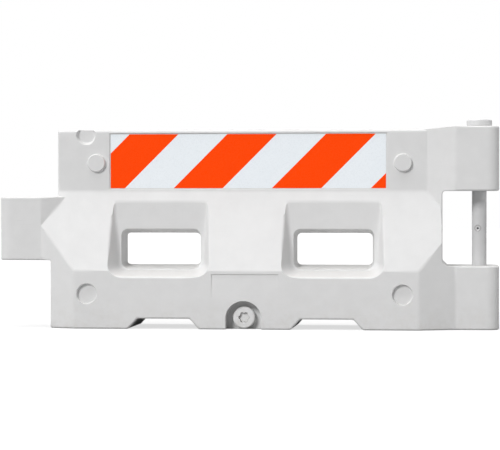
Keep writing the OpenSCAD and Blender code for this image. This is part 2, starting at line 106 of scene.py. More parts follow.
# %% [markdown]
# ## How a CAD piece gets its moulded edges
#
# The CAD pieces have the right faces but knife edges, and every edge of a moulded piece is
# rounded. Remeshing would round them too, but it would also blur the flat faces. So a copy of
# the CAD triangles is merged into one surface, each sharp edge is given its own radius, and
# the Bevel modifier rolls a small arc along it.
#
# Smooth shading would then let the arcs' light leak far into the flat faces. The modifier
# marks the faces it kept, so the borders between kept and new faces can be made sharp: the
# flat faces stay flat in the light, and only the arcs look round.
#
# Where arcs meet in a tight corner they can run over each other, and the surface folds back on
# itself. The shell is rounded in nine rounds, and after each one the radii near any fold
# shrink. The folds that it keeps are slivers under 0.03 mm wide. The small pieces get a single
# round, and theirs are left: strips of up to 0.7 mm in the cap's grip notches, in the key
# socket and at the vent's rim, and of up to 1.2 mm where the pin's tube meets its head and its
# nose plug. Every count is printed. More rounds for the small pieces would be the next step.


# %% One merged surface from a CAD node
def merged_copy(node):
    """A copy of a CAD node's loose triangles as one surface with large flat faces."""
    bm = bmesh.new()
    bm.from_mesh(frame["nodes"][node].data)
    bmesh.ops.remove_doubles(bm, verts=bm.verts, dist=0.05 * MM)
    bmesh.ops.dissolve_limit(
        bm, angle_limit=math.radians(0.5), use_dissolve_boundaries=False,
        verts=bm.verts, edges=bm.edges,
    )
    return bm


# %% Keeping flat faces flat in the light
# The mark that the modifier leaves on a face it kept
KEPT_FACE = 16384
# Above how many degrees an edge is sharp: between kept faces, between arcs, and where they meet
KEPT_LIMIT, ARC_LIMIT, BORDER_LIMIT = 20.0, 60.0, 3.0


def sharpen_borders(mesh):
    """Makes the borders between kept faces and rolled arcs sharp, and all else smooth."""
    marks = mesh.attributes["__mod_weightednormals_faceweight"].data
    kept = [mark.value == KEPT_FACE for mark in marks]
    bm = bmesh.new()
    bm.from_mesh(mesh)
    for face in bm.faces:
        face.smooth = True
    for edge in bm.edges:
        if len(edge.link_faces) != 2:
            continue
        one, two = (kept[face.index] for face in edge.link_faces)
        limit = KEPT_LIMIT if one and two else ARC_LIMIT if one == two else BORDER_LIMIT
        edge.smooth = edge.calc_face_angle() < math.radians(limit)
    bm.to_mesh(mesh)
    bm.free()


# %% Clearing the strip beside an edge
SAMPLE_STEP = 3 * MM
# How many radii an arc reaches from its edge, and how far points are looked for
ARC_REACH, SEARCH_REACH = 1.4, 1.5


def tree_of(points):
    """A search tree over a list of points."""
    tree = KDTree(len(points))
    for index, point in enumerate(points):
        tree.insert(point, index)
    tree.balance()
    return tree


def is_sharp(edge, sharper_than):
    """Whether two faces meet at this edge at more than an angle in degrees."""
    return len(edge.link_faces) == 2 and edge.calc_face_angle() > math.radians(sharper_than)


def clear_beside_edges(bm, radius_of, sharper_than):
    """Dissolves the points of flat faces that an arc would run over."""
    samples, radii = [], []
    for edge in bm.edges:
        if is_sharp(edge, sharper_than) and radius_of(edge) > 0:
            one, two = (vert.co for vert in edge.verts)
            count = 1 + int(edge.calc_length() / SAMPLE_STEP)
            samples += [one.lerp(two, (k + 0.5) / count) for k in range(count)]
            radii += [radius_of(edge)] * count
    tree = tree_of(samples)
    covered = []
    for vert in bm.verts:
        if not any(is_sharp(edge, 1.0) for edge in vert.link_edges):
            found = tree.find_range(vert.co, SEARCH_REACH * max(radii))
            if any(distance < ARC_REACH * radii[index] for _, index, distance in found):
                covered.append(vert)
    bmesh.ops.dissolve_verts(bm, verts=covered)
    return len(covered)


# %% Finding folds
FOLD_ANGLE = 100.0
# Within each reach of a fold, the share of its radius that an edge keeps
SHRINKING = ((12 * MM, 0.55), (30 * MM, 0.85))


def fold_places(mesh):
    """Places where a surface is folded back on itself, outside the tank."""
    bm = bmesh.new()
    bm.from_mesh(mesh)
    layer = bm.faces.layers.int.get("outside")
    places = []
    for edge in bm.edges:
        outer = layer is None or all(face[layer] for face in edge.link_faces)
        if outer and is_sharp(edge, FOLD_ANGLE):
            smaller = min(edge.link_faces, key=lambda face: face.calc_area())
            places.append(smaller.calc_center_median())
    bm.free()
    return places


# %% Letting a radius change only little by little
RUN_ON_ANGLE = 35.0
# How many times larger a radius may be than the one beside it, and how often that is tested
GROWTH, PASSES = 1.5, 8
LEAST_RADIUS = 0.5 * MM


def runs_on(edge, other):
    """Whether another edge goes on from this edge in nearly the same direction."""
    one = edge.verts[1].co - edge.verts[0].co
    two = other.verts[1].co - other.verts[0].co
    turn = one.angle(two, 0.0)
    return min(turn, math.pi - turn) < math.radians(RUN_ON_ANGLE)


def neighbours_of(bm, radii):
    """For each rounded edge, the rounded edges that run on from it."""
    found = {}
    for index, radius in radii.items():
        edge = bm.edges[index]
        near = {other for vert in edge.verts for other in vert.link_edges if other is not edge}
        near = [o for o in near if radii.get(o.index, 0) > 0 and runs_on(edge, o)]
        found[index] = [o.index for o in near] if radius > 0 else []
    return found


def smooth_radii(radii, neighbours):
    """Keeps each radius from growing too fast from one edge to the next."""
    for _ in range(PASSES):
        for index, near in neighbours.items():
            for other in near:
                radii[index] = min(radii[index], GROWTH * max(radii[other], LEAST_RADIUS))


# %% Rolling the arcs
ARC_SEGMENTS = 3


def rounded_mesh(bm, name, largest, radius_of, sharper_than=13.0, rounds=1):
    """Rounds each edge by its radius; each further round shrinks the radii near any fold."""
    covered = clear_beside_edges(bm, radius_of, sharper_than)
    bmesh.ops.triangulate(bm, faces=bm.faces, quad_method="BEAUTY", ngon_method="BEAUTY")
    bm.edges.ensure_lookup_table()
    radii = {e.index: radius_of(e) for e in bm.edges if is_sharp(e, sharper_than)}
    middles = {i: 0.5 * (bm.edges[i].verts[0].co + bm.edges[i].verts[1].co) for i in radii}
    neighbours = neighbours_of(bm, radii)
    bm.edges.layers.float.new("bevel_weight_edge")
    draft = bpy.data.meshes.new(name + "_draft")
    bm.to_mesh(draft)
    bm.free()
    holder = bpy.data.objects.new(name + "_draft", draft)
    bpy.context.scene.collection.objects.link(holder)
    arcs = holder.modifiers.new("arcs", "BEVEL")
    arcs.limit_method = "WEIGHT"
    arcs.width = largest
    arcs.segments = ARC_SEGMENTS
    arcs.use_clamp_overlap = False
    arcs.loop_slide = False
    arcs.face_strength_mode = "FSTR_ALL"
    mesh, folds = None, []
    for _ in range(rounds):
        smooth_radii(radii, neighbours)
        weights = draft.attributes["bevel_weight_edge"].data
        for index, radius in radii.items():
            weights[index].value = min(radius / largest, 1.0)
        draft.update_tag()
        graph = bpy.context.evaluated_depsgraph_get()
        graph.update()
        mesh = bpy.data.meshes.new_from_object(holder.evaluated_get(graph))
        places = fold_places(mesh)
        folds.append(len(places))
        if not places:
            break
        tree = tree_of(places)
        for index, middle in middles.items():
            distance = tree.find(middle)[2]
            radii[index] *= next((share for reach, share in SHRINKING if distance < reach), 1.0)
    mesh.name = name
    bpy.data.objects.remove(holder)
    bpy.data.meshes.remove(draft)
    sharpen_borders(mesh)
    counts = f"{len(radii)} edges, {covered} points cleared, {len(mesh.polygons)} faces"
    print(f"{name} {counts}, folds {folds}")
    return mesh


# %% Making the object of a piece
def add_piece(mesh, name, body, stands_for):
    """Makes an object at the origin that rides on a body and stands for a CAD node."""
    piece = bpy.data.objects.new(name, mesh)
    bpy.context.scene.collection.objects.link(piece)
    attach(piece, body)
    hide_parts(stands_for)


# %% [markdown]
# ## The shell
#
# A rotationally moulded shell has no sharp edge anywhere: powder melts against the hot mould
# and leaves a radius on every corner. The long outer edges get the full radius. The shallow
# recesses, the sockets and the finger scoops get a smaller one, and the inside of the tank
# none. Where two moulded forms run into each other at a narrow angle, the radius shrinks
# towards that corner, as it does on the mould.

# %% The shell's radii
SHELL_RADIUS = 7 * MM
DETAIL_RADII = []


def detail(radius, test):
    """Notes that the edges whose middle passes the test get this radius."""
    DETAIL_RADII.append((radius, test))


def inside_box(point, low, high, margin):
    """Whether a point lies in a box that is grown by a margin."""
    return all(low[i] - margin <= point[i] <= high[i] + margin for i in range(3))


def near_axis(point, x, z, radius):
    """Whether a point lies within a radius of a line that runs along Y."""
    return math.hypot(point.x - x, point.z - z) < radius


def beside_round(x, z, radius, beyond, turn):
    """A test for points near a round form on the front, or on the rear if turn is -1."""
    return lambda p: near_axis(p, x * turn, z, radius) and -turn * p.y > beyond


# %% Sheet recesses and the bare plate
for sheet in ("front_sheet", "rear_sheet"):
    low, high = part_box(sheet)
    detail(1.5 * MM, lambda p, low=low, high=high: inside_box(p, low, high, 9 * MM))

# The plate is deepest at its top, so the edge there gets a larger radius than the rest
PLATE_HALF, PLATE_FOOT = 0.15, 0.12
for radius, top in ((0.6 * MM, 0.236), (1.5 * MM, 0.243)):
    detail(radius, lambda p, top=top: (
        abs(p.x) < PLATE_HALF and abs(p.y) > 0.18 and PLATE_FOOT < p.z < top))
print(len(DETAIL_RADII), "radii for the recesses")

# %% Ports, scoops, bosses, sockets and bores
cap_low, cap_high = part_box("fill_cap")
cap_x = 0.5 * (cap_low.x + cap_high.x)
plug_low, plug_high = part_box("drain_plug")
plug_x = 0.5 * (plug_low.x + plug_high.x)
plug_z = 0.5 * (plug_low.z + plug_high.z)
pin_low, pin_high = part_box("pin_tube")
pin_x = 0.5 * (pin_low.x + pin_high.x)
SCOOP_Z = 0.843
BOSSES_X, BOSSES_Z = (-0.665, 0.677), 0.720
SOCKETS_X, SOCKETS_Z = (-0.690, 0.678), 0.152

detail(3 * MM, lambda p: math.hypot(p.x - cap_x, p.y) < 0.052 and p.z > 0.83)
detail(3 * MM, lambda p: abs(p.x - plug_x) < 0.08 and p.y < -0.125 and p.z < 0.128)
detail(3 * MM, lambda p: near_axis(p, cap_x, SCOOP_Z, 0.046) and abs(p.y) > 0.05)
detail(2 * MM, lambda p: math.hypot(abs(p.x) - pin_x, p.y) < 0.037)
for turn in (1, -1):
    for x in BOSSES_X:
        detail(2.5 * MM, beside_round(x, BOSSES_Z, 0.044, 0.06, turn))
    for x in SOCKETS_X:
        detail(3 * MM, beside_round(x, SOCKETS_Z, 0.048, 0.17, turn))
print(len(DETAIL_RADII), "radii in all")


# %% Windows and pockets
WINDOW_X = 0.378
WEB_Y = 0.09
# How far a pocket's lower corners are from the window's middle, at the web and in the face
CORNERS_AT_WEB, CORNERS_IN_FACE = 0.165, 0.222


def from_window(p):
    """A point's distance to the side of the nearest window's middle."""
    return abs(abs(p.x) - WINDOW_X)


detail(0.0, lambda p: 0.0905 < abs(p.y) < 0.112 and 0.14 < from_window(p) < 0.23 and p.z > 0.245)
detail(0.0, lambda p: 0.0895 < abs(p.y) < 0.0905 and 0.177 < from_window(p) and p.z > 0.3)
detail(2.2 * MM, lambda p: 0.088 < abs(p.y) < 0.092 and from_window(p) < 0.19 and p.z < 0.3)
detail(4 * MM, lambda p: abs(p.y) < 0.0905 and from_window(p) < 0.19 and 0.25 < p.z < 0.445)

TIGHT_CORNERS = [
    Vector((cap_x - 0.033, 0.067, 0.860)), Vector((cap_x + 0.033, 0.067, 0.860)),
    Vector((0.765, 0.067, 0.862)), Vector((0.781, 0.075, 0.862)),
]
for side in (1, -1):
    for x in (WINDOW_X - CORNERS_IN_FACE, WINDOW_X + CORNERS_IN_FACE):
        TIGHT_CORNERS.append(Vector((side * x, 0.190, 0.252)))
    for x in (WINDOW_X - CORNERS_AT_WEB, WINDOW_X + CORNERS_AT_WEB):
        TIGHT_CORNERS.append(Vector((side * x, WEB_Y, 0.262)))
print(len(TIGHT_CORNERS), "corners where the radius shrinks")


# %% [markdown]
# The two screw ports join the tank's inside to the shell's outside, so "outside" has to be
# found: starting from the top, the search walks from face to face and stops at the walls of
# the two port holes. The faces are then cut into cells of about 26 mm. The cuts keep the
# Bevel's corners from sliding far along an edge, and let a radius shrink little by little. A
# cut just beside an edge would lie under the arc that is to be rolled there, so the cuts keep
# clear of the long edges.


# %% Telling the outside from the tank
# Radii within which a face is the wall of a port's hole
FILL_HOLE, DRAIN_HOLE = 0.034, 0.037


def mark_outside(bm):
    """Marks the faces that can be reached from the top without passing a port's hole."""
    layer = bm.faces.layers.int.new("outside")
    walls = set()
    for face in bm.faces:
        c = face.calc_center_median()
        fill = math.hypot(c.x - cap_x, c.y) < FILL_HOLE and c.z > 0.8
        drain = near_axis(c, plug_x, plug_z, DRAIN_HOLE) and -0.14 < c.y < -0.115
        if fill or drain:
            walls.add(face)
    start = max((f for f in bm.faces if f not in walls), key=lambda f: f.calc_center_median().z)
    reached, todo = {start}, [start]
    while todo:
        for edge in todo.pop().edges:
            for other in edge.link_faces:
                if other not in reached and other not in walls:
                    reached.add(other)
                    todo.append(other)
    for face in reached:
        face[layer] = 1
    print(len(reached), "of", len(bm.faces), "faces are outside")


# %% Cutting the shell into cells
CELL_SIZE = 26 * MM
CUT_CLEAR = 9 * MM
LONG_EDGE = 15 * MM


def cut_places(bm, axis, size, clear):
    """Places for cuts along an axis, each well clear of any long edge that lies across it."""
    layer = bm.faces.layers.int["outside"]
    levels = set()
    for edge in bm.edges:
        one, two = (vert.co[axis] for vert in edge.verts)
        outer = len(edge.link_faces) == 2 and all(face[layer] for face in edge.link_faces)
        if outer and abs(one - two) < 0.5 * MM and edge.calc_length() > LONG_EDGE:
            if edge.calc_face_angle() > math.radians(10.0):
                levels.add(round(0.5 * (one + two), 4))
    levels = sorted(levels)
    places = []
    for low, high in zip(levels, levels[1:]):
        if high - low >= 2 * clear:
            count = max(1, round((high - low) / size))
            places += [low + (high - low) * (k + 1) / (count + 1) for k in range(count)]
    return places


def cut_into_cells(bm, size, clear):
    """Cuts the marked outer faces by planes across the three axes."""
    layer = bm.faces.layers.int["outside"]
    places = [cut_places(bm, axis, size, clear) for axis in range(3)]
    for axis in range(3):
        for place in places[axis]:
            point, normal = Vector(), Vector()
            point[axis] = place
            normal[axis] = 1.0
            faces = [face for face in bm.faces if face[layer]]
            edges = {edge for face in faces for edge in face.edges}
            verts = {vert for face in faces for vert in face.verts}
            bmesh.ops.bisect_plane(
                bm, geom=[*verts, *edges, *faces],
                plane_co=point, plane_no=normal, dist=0.3 * MM,
            )
    print("cuts across x, y and z:", [len(rows) for rows in places])


# %% The radius of each edge of the shell
# The radius in a tight corner, how far it holds, and how fast it grows from there
CORNER_RADIUS, CORNER_REACH, CORNER_GROWTH = 0.6 * MM, 4 * MM, 0.12


def shell_radius(edge, layer):
    """The radius of one of the shell's edges, zero inside the tank."""
    if not all(face[layer] for face in edge.link_faces):
        return 0.0
    middle = 0.5 * (edge.verts[0].co + edge.verts[1].co)
    radius = next((r for r, test in DETAIL_RADII if test(middle)), SHELL_RADIUS)
    folded = Vector((middle.x, abs(middle.y), middle.z))
    distance = min((folded - corner).length for corner in TIGHT_CORNERS)
    return min(radius, CORNER_RADIUS + CORNER_GROWTH * max(distance - CORNER_REACH, 0.0))


shell_low, shell_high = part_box("body_shell")
shell_bm = merged_copy("body_shell")
mark_outside(shell_bm)
cut_into_cells(shell_bm, CELL_SIZE, CUT_CLEAR)
outside = shell_bm.faces.layers.int["outside"]
shell_mesh = rounded_mesh(
    shell_bm, "shell_skin", SHELL_RADIUS, lambda edge: shell_radius(edge, outside), rounds=9,
)
for vertex in shell_mesh.vertices:
    for i in range(3):
        vertex.co[i] = min(max(vertex.co[i], shell_low[i]), shell_high[i])
add_piece(shell_mesh, "shell_skin", "shell", "body_shell")

# %% [markdown]
# ## Threads
#
# The caps and necks screw together with a coarse rounded thread of 6.5 mm pitch. A thread is
# one small section carried round the axis while it moves along it, which is what the spin
# operator does when it is given a step along the axis as well as a turn. The CAD's plain
# cylinders stand for the thread's crests, so the shank between the crests is drawn in.

# %% A thread's ridge
PITCH = 6.5 * MM
THREAD_STEPS = 48
# Half the ridge's height at its crest and at its foot, and how deep the foot is sunk in
CREST_HALF, FOOT_HALF, FOOT_SUNK = 0.7 * MM, 2.3 * MM, 0.4 * MM


def thread_ridge(root, crest, start, turns):
    """Winds one ridge round Z, from start downwards, as a mesh of its own."""
    bm = bmesh.new()
    foot = root - FOOT_SUNK * (1 if crest > root else -1)
    section = [(foot, -FOOT_HALF), (crest, -CREST_HALF), (crest, CREST_HALF), (foot, FOOT_HALF)]
    corners = [bm.verts.new((r, 0.0, start + z)) for r, z in section]
    end = bm.faces.new(corners)
    steps = int(turns * THREAD_STEPS)
    bmesh.ops.spin(
        bm, geom=[*corners, *end.edges, end], cent=(0, 0, 0), axis=(0, 0, 1),
        dvec=(0, 0, -PITCH / THREAD_STEPS), angle=2 * math.pi * turns, steps=steps,
        use_merge=False, use_duplicate=False,
    )
    bmesh.ops.remove_doubles(bm, verts=bm.verts, dist=0.001 * MM)
    bmesh.ops.holes_fill(bm, edges=[e for e in bm.edges if e.is_boundary], sides=4)
    bmesh.ops.recalc_face_normals(bm, faces=bm.faces)
    open_edges = sum(not e.is_manifold for e in bm.edges)
    print("thread of", turns, "turns,", len(bm.faces), "faces,", open_edges, "open edges")
    for face in bm.faces:
        face.smooth = True
    for edge in bm.edges:
        edge.smooth = edge.is_manifold and edge.calc_face_angle() < math.radians(35)
    ridge = bpy.data.meshes.new("thread")
    bm.to_mesh(ridge)
    bm.free()
    return ridge


# %% Joining a ridge to its piece
def join_ridge(mesh, ridge, place):
    """Adds a thread's ridge to a piece's mesh, set on the piece's own axis."""
    ridge.transform(place)
    bm = bmesh.new()
    bm.from_mesh(mesh)
    bm.from_mesh(ridge)
    bm.to_mesh(mesh)
    bm.free()
    bpy.data.meshes.remove(ridge)


def draw_in(bm, place, old_radius, new_radius, low, high):
    """Moves a cylinder's wall to a new radius between two heights on its axis."""
    back_to_axis = place.inverted()
    moved = 0
    for vertex in bm.verts:
        p = back_to_axis @ vertex.co
        r = math.hypot(p.x, p.y)
        if abs(r - old_radius) < 0.2 * MM and low < p.z < high:
            p.x *= new_radius / r
            p.y *= new_radius / r
            vertex.co = place @ p
            moved += 1
    print(moved, "points drawn in to", round(new_radius / MM, 2), "mm")


FILL_SEAT_Z = 0.843
DRAIN_SEAT_Y = -0.13
TO_FRONT = Matrix.Rotation(math.radians(90), 4, "X")
AT_FILL = Matrix.Translation((cap_x, 0.0, FILL_SEAT_Z))
AT_DRAIN = Matrix.Translation((plug_x, DRAIN_SEAT_Y, plug_z)) @ TO_FRONT

# %% [markdown]
# ## Necks, gaskets, cap and plug
#
# The two necks are threaded sleeves that the shell is moulded round. A black rubber ring
# seals each one. The fill cap has grip notches and a bar to turn it by, and the drain plug
# has a six-lobed socket, so that only the drain key opens it. Each keeps its CAD shape, gets
# small moulded radii, and gets its thread.


# %% Small moulded pieces
def small_piece(
        node, body, radius, sharper_than=25.0, narrow=None, ridge=None, place=None):
    """Rounds a small CAD node, and where it has a thread, draws in its wall and adds the ridge."""
    bm = merged_copy(node)
    if narrow:
        draw_in(bm, place, *narrow)
    mesh = rounded_mesh(bm, node + "_moulded", radius, lambda edge: radius, sharper_than)
    if ridge:
        join_ridge(mesh, ridge, place)
    add_piece(mesh, node + "_moulded", body, node)


small_piece("fill_gasket", "fill_seal", 1.2 * MM)
small_piece("drain_gasket", "drain_seal", 1.2 * MM)

# %% Necks with their inside threads
small_piece(
    "fill_neck", "shell", 0.8 * MM,
    narrow=(27 * MM, 28.3 * MM, -40 * MM, 5 * MM),
    ridge=thread_ridge(28.3 * MM, 27 * MM, 1 * MM, 5), place=AT_FILL,
)
small_piece(
    "drain_neck", "shell", 0.8 * MM,
    narrow=(30 * MM, 31.3 * MM, -40 * MM, 5 * MM),
    ridge=thread_ridge(31.3 * MM, 30 * MM, 1 * MM, 5), place=AT_DRAIN,
)

# %% Fill cap and drain plug with their outside threads
small_piece(
    "fill_cap", "fill_cap", 1.3 * MM,
    narrow=(26.5 * MM, 25 * MM, -32 * MM, 8 * MM),
    ridge=thread_ridge(25 * MM, 26.5 * MM, 0, 4.5), place=AT_FILL,
)
small_piece(
    "drain_plug", "drain_plug", 1.6 * MM,
    narrow=(29.5 * MM, 28 * MM, -32 * MM, 8 * MM),
    ridge=thread_ridge(28 * MM, 29.5 * MM, 0, 4.5), place=AT_DRAIN,
)

# %% [markdown]
# ## The hinge pin
#
# The pin is a grey plastic tube with a dished vent in its side, a thick round head to lift it
# by, and a tapered nose plug that finds its way through two knuckles and the next tab. The head's
# rim is worn round by handling, so it gets a larger radius than the tube.

# %% Pin
small_piece("pin_tube", "pin", 0.8 * MM, sharper_than=15.0)
small_piece("pin_head", "pin", 2.5 * MM)
small_piece("pin_nose_plug", "pin", 3 * MM, sharper_than=12.0)
pieces_made = [o.name for o in bpy.data.objects if o.name.endswith(("_moulded", "_skin"))]
print(len(pieces_made), "pieces made:", ", ".join(pieces_made))

# %% [markdown]
# ## Effects that several finishes share
#
# Each effect is a node group that reads Object coordinates, so it stays on its piece when the
# piece moves, and gives out only a mask or a height. The finish that uses it decides what the
# mask does to its colour, its roughness or its bumps.


# %% Building a node group
def new_group(name, inputs, outputs):
    """An empty node group with float inputs and outputs and Object coordinates ready."""
    group = bpy.data.node_groups.new(name, "ShaderNodeTree")
    for label, value in inputs:
        socket = group.interface.new_socket(
            name=label, in_out="INPUT", socket_type="NodeSocketFloat")
        socket.default_value = value
    for label in outputs:
        group.interface.new_socket(name=label, in_out="OUTPUT", socket_type="NodeSocketFloat")
    enter = group.nodes.new("NodeGroupInput")
    leave = group.nodes.new("NodeGroupOutput")
    coordinates = group.nodes.new("ShaderNodeTexCoord")
    return group, enter, leave, coordinates.outputs


def calculate(tree, kind, first, second=0.5, clamp=False):
    """A Math node; each operand is a socket or a number."""
    node = tree.nodes.new("ShaderNodeMath")
    node.operation = kind
    node.use_clamp = clamp
    for socket, value in zip(node.inputs, (first, second)):
        if isinstance(value, (int, float)):
            socket.default_value = value
        else:
            tree.links.new(value, socket)
    return node.outputs[0]


def noise(tree, where, scale, detail_levels=3.0, roughness=0.5):
    """A noise texture's value at the given coordinates."""
    node = tree.nodes.new("ShaderNodeTexNoise")
    tree.links.new(where, node.inputs["Vector"])
    node.inputs["Scale"].default_value = scale
    node.inputs["Detail"].default_value = detail_levels
    node.inputs["Roughness"].default_value = roughness
    return node.outputs[0]


def span(tree, value, low, high, to_low=0.0, to_high=1.0):
    """Maps a range of values onto another one and clips it."""
    node = tree.nodes.new("ShaderNodeMapRange")
    tree.links.new(value, node.inputs["Value"])
    limits = {"From Min": low, "From Max": high, "To Min": to_low, "To Max": to_high}
    for label, number in limits.items():
        node.inputs[label].default_value = number
    return node.outputs["Result"]


# %% Moulded skin: fine grain, and the faint clouds of an uneven wall
skin, enter, leave, given = new_group(
    "moulded skin", [("Grain per metre", 700.0)], ["Height", "Clouds"])
where = given["Object"]
pebbles = skin.nodes.new("ShaderNodeTexVoronoi")
pebbles.feature = "SMOOTH_F1"
skin.links.new(where, pebbles.inputs["Vector"])
skin.links.new(enter.outputs["Grain per metre"], pebbles.inputs["Scale"])
ripples = noise(skin, where, scale=90.0, detail_levels=2.0)
height = calculate(skin, "MULTIPLY", pebbles.outputs["Distance"], 0.5)
height = calculate(skin, "ADD", height, calculate(skin, "MULTIPLY", ripples, 0.8))
skin.links.new(height, leave.inputs["Height"])
broad = noise(skin, where, scale=3.1, detail_levels=4.0, roughness=0.6)
small = noise(skin, where, scale=17.0)
clouds = calculate(skin, "ADD", broad, small)
skin.links.new(span(skin, clouds, 0.75, 1.3), leave.inputs["Clouds"])
print("moulded skin:", len(skin.nodes), "nodes")

# %% Road dust: thickest near the ground, patchy, and lying on what faces up
dust, enter, leave, given = new_group(
    "road dust", [("Amount", 0.5), ("Reach", 0.25)], ["Mask"])
where = given["Object"]
split = dust.nodes.new("ShaderNodeSeparateXYZ")
dust.links.new(where, split.inputs[0])
near_ground = calculate(dust, "DIVIDE", split.outputs["Z"], enter.outputs["Reach"])
near_ground = calculate(dust, "SUBTRACT", 1.0, near_ground, clamp=True)
near_ground = calculate(dust, "POWER", near_ground, 2.0)
lean = dust.nodes.new("ShaderNodeSeparateXYZ")
dust.links.new(given["Normal"], lean.inputs[0])
lying = span(dust, lean.outputs["Z"], 0.5, 0.95)
speckle = noise(dust, where, scale=26.0, detail_levels=6.0, roughness=0.65)
near_ground = calculate(dust, "MULTIPLY", near_ground, span(dust, speckle, 0.42, 0.68))
lying = calculate(dust, "MULTIPLY", lying, span(dust, speckle, 0.3, 0.7, 0.6, 1.0))
total = calculate(dust, "ADD", near_ground, lying, clamp=True)
total = calculate(dust, "MULTIPLY", total, enter.outputs["Amount"], clamp=True)
dust.links.new(total, leave.inputs["Mask"])
print("road dust:", len(dust.nodes), "nodes")

# %% Scuffs: sparse short scratches, drawn out along the way the section is dragged
scuffs, enter, leave, given = new_group(
    "scuffs", [("Length per metre", 9.0), ("Amount", 0.5)], ["Mask"])
where = given["Object"]
stretch = scuffs.nodes.new("ShaderNodeMapping")
stretch.inputs["Rotation"].default_value = (0.0, math.radians(4.0), 0.0)
stretch.inputs["Scale"].default_value = (1.0, 28.0, 28.0)
scuffs.links.new(where, stretch.inputs["Vector"])
streaks = scuffs.nodes.new("ShaderNodeTexNoise")
scuffs.links.new(stretch.outputs[0], streaks.inputs["Vector"])
scuffs.links.new(enter.outputs["Length per metre"], streaks.inputs["Scale"])
streaks.inputs["Detail"].default_value = 3.0
lines = span(scuffs, streaks.outputs[0], 0.66, 0.74)
groups = span(scuffs, noise(scuffs, where, scale=5.0, detail_levels=2.0), 0.5, 0.65)
lines = calculate(scuffs, "MULTIPLY", lines, groups)
lines = calculate(scuffs, "MULTIPLY", lines, enter.outputs["Amount"], clamp=True)
scuffs.links.new(lines, leave.inputs["Mask"])
print("scuffs:", len(scuffs.nodes), "nodes")

# %% Painted shade: a soft dark line round a hole seen from the front, round or with six lobes, where shade falls in its rim
shade_ring_group, enter, leave, given = new_group("painted shade ring", [
    ("Centre X", 0.0), ("Centre Z", 0.0), ("Radius", 0.01), ("Lobe depth", 0.0),
    ("Half width", 0.003), ("Front Y", 0.0),
], ["Mask"])
split = shade_ring_group.nodes.new("ShaderNodeSeparateXYZ")
shade_ring_group.links.new(given["Object"], split.inputs[0])
across = calculate(shade_ring_group, "SUBTRACT", split.outputs["X"], enter.outputs["Centre X"])
up = calculate(shade_ring_group, "SUBTRACT", split.outputs["Z"], enter.outputs["Centre Z"])
across_squared = calculate(shade_ring_group, "MULTIPLY", across, across)
up_squared = calculate(shade_ring_group, "MULTIPLY", up, up)
squares = calculate(shade_ring_group, "ADD", across_squared, up_squared)
turn = calculate(shade_ring_group, "ARCTAN2", up, across)
lobes = calculate(shade_ring_group, "COSINE", calculate(shade_ring_group, "MULTIPLY", turn, 6.0))
lobes = calculate(shade_ring_group, "MULTIPLY", lobes, enter.outputs["Lobe depth"])
line = calculate(shade_ring_group, "ADD", lobes, enter.outputs["Radius"])
away = calculate(shade_ring_group, "SUBTRACT", calculate(shade_ring_group, "SQRT", squares), line)
away = calculate(shade_ring_group, "ABSOLUTE", away)
away = calculate(shade_ring_group, "DIVIDE", away, enter.outputs["Half width"])
near_line = calculate(shade_ring_group, "SUBTRACT", 1.0, away, clamp=True)
in_front = calculate(shade_ring_group, "LESS_THAN", split.outputs["Y"], enter.outputs["Front Y"])
shade_ring_group.links.new(calculate(shade_ring_group, "MULTIPLY", near_line, in_front), leave.inputs["Mask"])
print("painted shade ring:", len(shade_ring_group.nodes), "nodes")

# %% Prism cells: the sealed cells of reflective sheeting
prisms, enter, leave, given = new_group(
    "prism cells", [("Cells per metre", 280.0)], ["Seam", "Tint"])
where = given["Object"]
edges = prisms.nodes.new("ShaderNodeTexVoronoi")
edges.feature = "DISTANCE_TO_EDGE"
cells = prisms.nodes.new("ShaderNodeTexVoronoi")
for node in (edges, cells):
    node.inputs["Randomness"].default_value = 0.25
    prisms.links.new(where, node.inputs["Vector"])
    prisms.links.new(enter.outputs["Cells per metre"], node.inputs["Scale"])
seams = span(prisms, edges.outputs["Distance"], 0.03, 0.09, 1.0, 0.0)
prisms.links.new(seams, leave.inputs["Seam"])
each = prisms.nodes.new("ShaderNodeSeparateColor")
prisms.links.new(cells.outputs["Color"], each.inputs[0])
prisms.links.new(each.outputs[0], leave.inputs["Tint"])
print("prism cells:", len(prisms.nodes), "nodes")


# %% [markdown]
# ## Finishes
#
# Rotomoulded polyethylene is satin and slightly uneven: faint clouds in its colour, a fine
# skin left by the mould, a few scuffs, and road dust near its feet and on what faces up. The
# caps are injection moulded and smoother, the pin is an extruded tube with fine lines along
# it, and the sheeting is glossy with small sealed cells. Every finish starts from its plain
# colour and lets the masks move it a little, because a real surface is never one flat colour.
#
# In the drain plug's key socket and round the pin's dished vent, a thin dark line of painted shade
# stands for the shade in their rims. Both are thin lines seen from the front, one with six lobes
# and one round, so one group draws them. The dust that lies on top has a second use: it helps to
# keep the faces under the overhead light from turning pure white.


# %% Starting a finish
def start_finish(name, roughness, specular):
    """A material with a Principled shader whose constants sit on its own sockets."""
    material = bpy.data.materials.new(name)
    material.use_nodes = True
    tree = material.node_tree
    shader = tree.nodes["Principled BSDF"]
    shader.inputs["Roughness"].default_value = roughness
    shader.inputs["Specular IOR Level"].default_value = specular
    return material, tree, shader


def use_group(tree, group, **values):
    """Places an effect's group in a finish, with its own values."""
    node = tree.nodes.new("ShaderNodeGroup")
    node.node_tree = group
    for label, value in values.items():
        node.inputs[label.replace("_", " ")].default_value = value
    return node


def tint(tree, mask, base, other):
    """A colour that goes from base to other as the mask rises; base may be a socket."""
    mix = tree.nodes.new("ShaderNodeMix")
    mix.data_type = "RGBA"
    tree.links.new(mask, mix.inputs[0])
    for socket, colour in ((mix.inputs[6], base), (mix.inputs[7], other)):
        if isinstance(colour, tuple):
            socket.default_value = (*colour, 1.0)
        else:
            tree.links.new(colour, socket)
    return mix.outputs[2]


